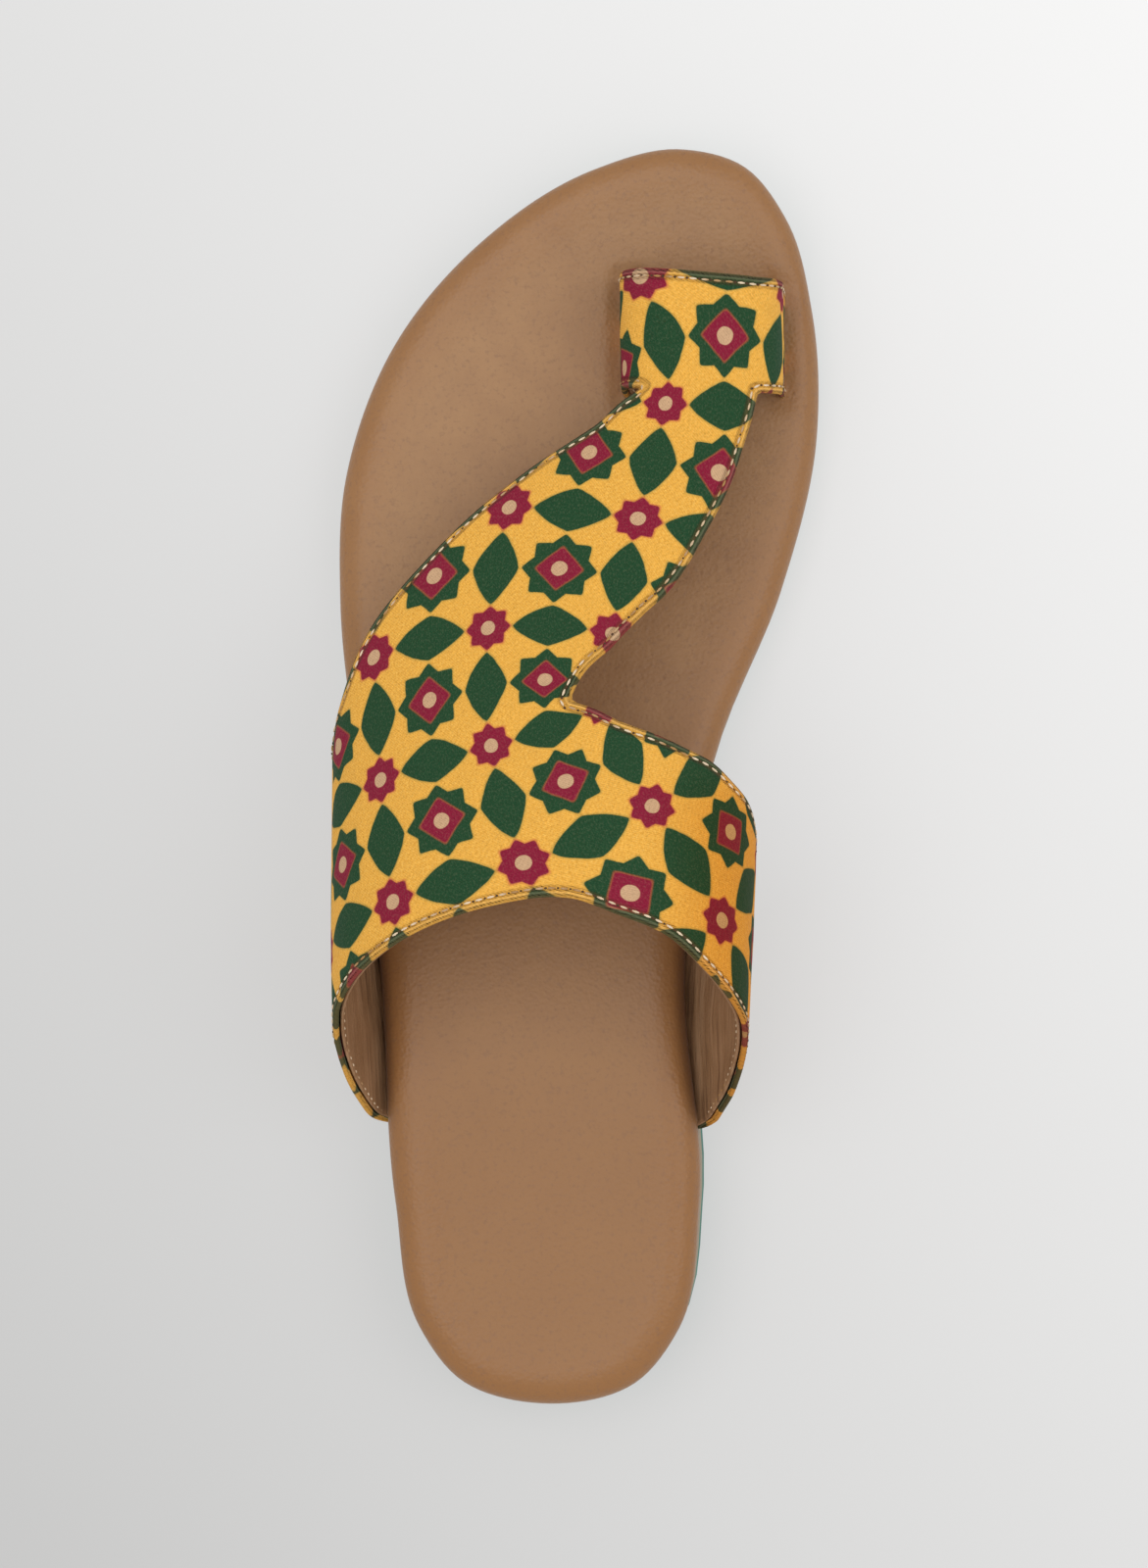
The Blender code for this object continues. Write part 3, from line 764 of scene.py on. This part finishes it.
for item in flat:
    q = complex(*item.vector) - middle_flat
    real = (q.conjugate() if mirrored else q) * factor + middle_real
    item.vector = ((real.real - PRINT_CENTRE.x) / PRINT_REPEAT, (real.imag - PRINT_CENTRE.y) / PRINT_REPEAT)

uv = start.node("ShaderNodeUVMap", {"uv_map": data.uv_layers.active.name}, {})
u, v, _ = uv.parts()
u = u + (uv.cloud(0.16, 2) - 0.5) * INK_WANDER
v = v + (uv.cloud(0.13, 2) - 0.5) * INK_WANDER


def folded(value):
    """Distance from the nearest repeat's middle line, in millimetres."""
    return abs((value + 0.5).math("FRACT") - 0.5) * REPEAT_MM


def diamond(x, y, size, corner):
    """A square on its point, its corners rounded."""
    return ((x + y) * DIAGONAL).math("SMOOTH_MAX", abs(x - y) * DIAGONAL, corner) - size


def star(x, y, size):
    """Two squares laid crosswise, their corners a little round."""
    square = x.math("SMOOTH_MAX", y, CORNER_ROUND) - size
    return square.math("MINIMUM", diamond(x, y, size, CORNER_ROUND))


def lozenge(x, y, wide, tall):
    """A diamond with softly bowed sides."""
    reach = (x / wide).math("POWER", BOW) + (y / tall).math("POWER", BOW)
    return (reach - 1) * (0.8 * wide * tall / hypot(wide, tall))


def inked(distance):
    """1 inside a printed shape, 0 outside, over a fifth of a millimetre."""
    return 1 - distance.clear_below(-0.10, 0.12)


def bled(distance):
    """The ink's thin halo in the cloth."""
    return 1 - distance.clear_below(0.05, 0.48)


def disc(x, y, radius):
    """A round dot."""
    return (x * x + y * y).math("SQRT") - radius


mx, my = folded(u), folded(v)
nx, ny = REPEAT_MM / 2 - mx, REPEAT_MM / 2 - my
greens = lozenge(nx, my, LEAF_WIDE, LEAF_TALL).math("MINIMUM", lozenge(mx, ny, LEAF_TALL, LEAF_WIDE))
greens = greens.math("MINIMUM", star(mx, my, BIG_STAR))
burgundies = diamond(mx, my, CORE, CORE_ROUND).math("MINIMUM", star(nx, ny, SMALL_STAR))
dots = disc(mx, my, BIG_DOT).math("MINIMUM", disc(nx, ny, SMALL_DOT))
ink = uv.cloud(0.020, 3).ramp(*YELLOWS)
ink = ink.blend(bled(greens) * 0.5, GREEN_HALO)
ink = ink.blend(inked(greens), GREEN)
ink = ink.blend(bled(burgundies) * 0.6, BURGUNDY_HALO)
ink = ink.blend(inked(burgundies), BURGUNDY)
ink = ink.blend(inked(dots), BUFF)

x, y, _ = uv.parts()
yarns = 2 * pi * PRINT_REPEAT / YARN_PITCH
warp = ((x + y) * yarns).math("SINE")
weft = ((y - x) * (yarns * 0.5)).math("SINE")
twill = (warp * 0.7 + weft * 0.3) * 0.5 + 0.5
slub = uv.cloud(0.030, 3, 0.65, (1.0, 0.3, 1.0))
nap = uv.cloud(0.016, 2, 0.7)
shade = ((twill * 0.16 + slub * 0.24) + nap * 0.40) + 0.58
grey = start.node("ShaderNodeCombineColor", {}, {0: shade, 1: shade, 2: shade})
ink = ink.blend(1.0, grey, "MULTIPLY")
fibre = uv.cloud(0.014, 3, 0.75, (1.0, 0.6, 1.0))
ink = ink.blend(fibre.clear_below(0.42, 0.74) * 0.07, PALE_FIBRE)
ink = ink.blend((1 - fibre.clear_below(0.28, 0.46)) * 0.30, DARK_FIBRE)
x, y, _ = place.parts()
# Painted shade: the band's inner flank is made darker and deeper in colour, as if less lit.
flank = x.clear_below(0.022, 0.042) * (1 - y.clear_below(0.090, 0.110))
ink = ink.blend(flank * 0.90, FLANK_SHADE, "MULTIPLY")
from_hem = start.node("ShaderNodeAttribute", {"attribute_name": "hem"}, {}, "Fac")
# Painted shade along the sunk stitch line, which the bump below also presses in.
seam = 1 - abs(from_hem - SEAM_IN).clear_below(0.0, SEAM_WIDE)
ink = ink.blend(seam * 0.28, SEAM_SHADE)
# Painted highlight along the ridge of the folded hem.
ridge = 1 - abs(from_hem - RIDGE_IN).clear_below(0.0, RIDGE_WIDE)
ink = ink.blend(ridge * 0.11, HEM_HIGHLIGHT)
# Painted shade over the rolled rim, within 0.9 mm of the edge.
rounded = from_hem.clear_below(0.0, SEAM_WIDE)
ink = ink.blend((1 - rounded) * 0.35, RIM_SHADE)
puff = rounded - seam * 0.9
folds = uv.cloud(0.09, 3)
set_finish(cloth_print, Base_Color=ink, Roughness=slub * 0.15 + 0.72,
           Normal=relief(start, (puff, 0.00068), (folds, 0.00030), (twill, 0.00006), (nap, 0.00010)))
thick = upper_cloth.modifiers.new("cloth_and_fold", "SOLIDIFY")
thick.thickness = CLOTH_THICK
thick.offset = 0
soft = upper_cloth.modifiers.new("rolled_edges", "SUBSURF")
soft.levels = soft.render_levels = 1
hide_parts("upper")


# Upper: lining
# Brown lining leather glued inside the cloth, cut a little short of its folded edges, with fine
# lengthwise wrinkles low down, where the band is pulled in under the footbed. Their crests are
# painted lighter and their troughs darker: painted highlight and painted shade.
LINING_THICK = 0.0009
CUT_SHORT = 0.0007
DARK_LINING = (0.290, 0.152, 0.070)
LIGHT_LINING = (0.365, 0.200, 0.100)
WRINKLE_HIGHLIGHT = (0.480, 0.290, 0.165)
WRINKLE_SHADE = (0.130, 0.064, 0.030)
lining, _ = lay_upper(LINING_THICK / 2, 1, CUT_SHORT)
brown, start, place = new_finish("lining_leather", Specular_IOR_Level=0.35)
mottle = place.cloud(0.010, 4)
hide = mottle.ramp((0.3, DARK_LINING), (0.7, LIGHT_LINING))
_, _, z = place.parts()
low = 1 - z.clear_below(0.030, 0.064)
wrinkles = place.cloud(0.0024, 4, 0.65, (1.0, 0.07, 1.0))
# Painted highlight on the wrinkles' crests and painted shade in their troughs.
hide = hide.blend(wrinkles.clear_below(0.45, 0.70) * low * 0.60, WRINKLE_HIGHLIGHT)
hide = hide.blend((1 - wrinkles.clear_below(0.30, 0.48)) * low * 0.70, WRINKLE_SHADE)
skin_grain = place.cloud(0.0010, 3)
set_finish(brown, Base_Color=hide, Roughness=mottle * 0.15 + 0.50,
           Normal=relief(start, (wrinkles * low, 0.0007), (skin_grain, 0.00012)))
upper_lining = into_object("upper_lining", lining, brown)
thick = upper_lining.modifiers.new("leather", "SOLIDIFY")
thick.thickness = LINING_THICK
thick.offset = 0
soft = upper_lining.modifiers.new("soft_edges", "SUBSURF")
soft.levels = soft.render_levels = 1


# Upper: stitches
# One row of cream thread a little in from every folded edge, sunk slightly into the cloth, with the
# same thread showing small on the lining. Small dark ovals at the needle holes between the stitches
# on the cloth are painted shade.
STITCH_IN = 0.0017
STITCH_PITCH = 0.0025
STITCH_LIFT = 0.00006
CORNER_SLACK = 0.00025
HOLE = (0.00070, 0.00056, 0.00024, -0.00004)  # long, wide, high, lift
DARK_CREAM = (0.42, 0.23, 0.08)
CREAM = (0.82, 0.66, 0.47)
HOLE_SHADE_COLOUR = (0.075, 0.035, 0.014, 1)
FACES = (
    # height over the lining's face, whether it is the lining, stitch length, width
    (WALL, False, 0.0018, 0.00052),
    (0.0, True, 0.0011, 0.00042),
)


def edge_run(curve):
    """Closely spaced points along an edge of the upper."""
    return [curve(i / 300) for i in range(301)]


def line_run(first, last):
    """Closely spaced points along a straight stretch of an edge."""
    return straight(first, last, 150)


def sewn_on(*runs):
    """Runs sewn in one go, with the point where two of them meet taken once."""
    points = list(runs[0])
    for run in runs[1:]:
        points += run[1:]
    return points


lateral_corner = (front(1).x, LOOP_FRONT_LATERAL)
medial_corner = (notch(1).x, LOOP_FRONT_MEDIAL)
seams = (
    # points of the edge, side on which the cloth lies
    (edge_run(rear), 1),
    (sewn_on(edge_run(front), line_run(front(1), (-1, LOOP_REAR))), -1),
    (sewn_on(line_run((1, LOOP_REAR), notch(1)), edge_run(notch)[::-1], edge_run(wing)), -1),
    (sewn_on(line_run((-1, LOOP_FRONT_LATERAL), lateral_corner), line_run(lateral_corner, medial_corner),
             line_run(medial_corner, (1, LOOP_FRONT_MEDIAL))), -1),
)


def stitch_places(edge, side, height, face_tree, free_tree):
    """Middles and directions of the stitches along one edge, on a face of the upper."""
    places = []
    for p in edge:
        places.append((on_upper(p.x, p.y, height), outwards(p.x, p.y * LENGTH)))
    moved = []
    for i in range(1, len(places) - 1):
        run = places[i + 1][0] - places[i - 1][0]
        inward = places[i][1].cross(run).normalized() * side
        point = places[i][0] + inward * STITCH_IN
        if free_tree.find(point)[2] > STITCH_IN - CORNER_SLACK:
            moved.append(point)
    count = int(run_lengths(moved)[-1] / STITCH_PITCH)
    line = evenly(moved, count * 2)
    stitches = []
    for i in range(1, count * 2, 2):
        if (line[i + 1] - line[i - 1]).length < STITCH_PITCH * 1.3:
            spot, normal, _, _ = face_tree.find_nearest(line[i])
            stitches.append((spot, normal, (line[i + 1] - line[i - 1]).normalized()))
    return stitches


def sew(rows, stitches, long, wide, high, lift):
    """One seam's stitches as small ovals, added to the seams sewn so far."""
    row = bmesh.new()
    for spot, normal, run in stitches:
        across = normal.cross(run).normalized()
        turn = Matrix((run * long, across * wide, normal * high)).transposed().to_4x4()
        bmesh.ops.create_uvsphere(row, u_segments=6, v_segments=5, radius=0.5,
                                  matrix=Matrix.Translation(spot + normal * lift) @ turn)
    data = bpy.data.meshes.new("seam")
    row.to_mesh(data)
    row.free()
    rows.from_mesh(data)
    bpy.data.meshes.remove(data)


thread_work, holes = bmesh.new(), bmesh.new()
for height, lining_side, long, wide in FACES:
    face, low_end = lay_upper(height, 1)
    free_tree = free_rim(face, low_end)
    bmesh.ops.recalc_face_normals(face, faces=face.faces)
    face_tree = BVHTree.FromBMesh(face)
    for edge, side in seams:
        stitches = []
        for spot, normal, run in stitch_places(edge, side, height, face_tree, free_tree):
            stitches.append((spot, normal if (normal.z > 0) != lining_side else -normal, run))
        sew(thread_work, stitches, long, wide, wide * 0.8, STITCH_LIFT)
        if not lining_side:
            # Painted shade: small dark ovals sunk at the needle holes between the stitches.
            gaps = [(spot + run * STITCH_PITCH / 2, normal, run) for spot, normal, run in stitches]
            sew(holes, gaps, *HOLE)
    face.free()
thread, start, place = new_finish("cream_thread", Specular_IOR_Level=0.3)
tint = place.cloud(0.009, 3)
strands = place.cloud(0.0003, 2)
set_finish(thread, Base_Color=tint.ramp((0.38, DARK_CREAM), (0.60, CREAM)), Roughness=tint * 0.1 + 0.7,
           Normal=relief(start, (strands, 0.00008)))
stitching = into_object("stitching", thread_work, thread)
dark, _, _ = new_finish("needle_hole", Base_Color=HOLE_SHADE_COLOUR, Roughness=0.9)
needle_holes = into_object("needle_holes", holes, dark)


# Floor and light
# A pale studio floor lit from above. It glows, and its colour and glow are painted a little brighter
# to the right and behind the toe: painted light, which also thins the shoe's shadow.
DIM_PAINTED_FLOOR = (0.202, 0.202, 0.201)
BRIGHT_PAINTED_FLOOR = (0.338, 0.338, 0.338)
ROOM_LIGHT = (1.0, 0.985, 0.965, 1)
ROOM_STRENGTH = 0.62
LAMPS = (
    # name, place, width, watts
    ("key", (-0.40, 0.14, 1.50), 1.4, 7.5),
    ("fill", (0.85, 0.10, 1.25), 1.1, 4.5),
)
LAMP_AIM = Vector((0, 0.1, 0))
floor_mesh = bmesh.new()
bmesh.ops.create_grid(floor_mesh, x_segments=1, y_segments=1, size=3)
data = bpy.data.meshes.new("floor")
floor_mesh.to_mesh(data)
floor_mesh.free()
floor = bpy.data.objects.new("floor", data)
bpy.context.scene.collection.objects.link(floor)
# Painted light: the floor glows and is painted brighter to the right and behind the toe.
glowing_floor, start, place = new_finish("pale_paper", Roughness=0.9, Specular_IOR_Level=0.1, Emission_Strength=1.9)
x, y, _ = place.parts()
pale = (x * 1.7 + y * 1.3 + 0.30).ramp((0.0, DIM_PAINTED_FLOOR), (1.0, BRIGHT_PAINTED_FLOOR))
set_finish(glowing_floor, Base_Color=pale, Emission_Color=pale)
data.materials.append(glowing_floor)

world = bpy.data.worlds.new("studio")
bpy.context.scene.world = world
world.use_nodes = True
background = world.node_tree.nodes["Background"]
background.inputs["Color"].default_value = ROOM_LIGHT
background.inputs["Strength"].default_value = ROOM_STRENGTH
for name, at, width, watts in LAMPS:
    lamp = bpy.data.lights.new(name, "AREA")
    lamp.shape = "DISK"
    lamp.size = width
    lamp.energy = watts
    light = bpy.data.objects.new(name, lamp)
    bpy.context.scene.collection.objects.link(light)
    light.location = at
    light.rotation_euler = (LAMP_AIM - Vector(at)).to_track_quat("-Z", "Y").to_euler()
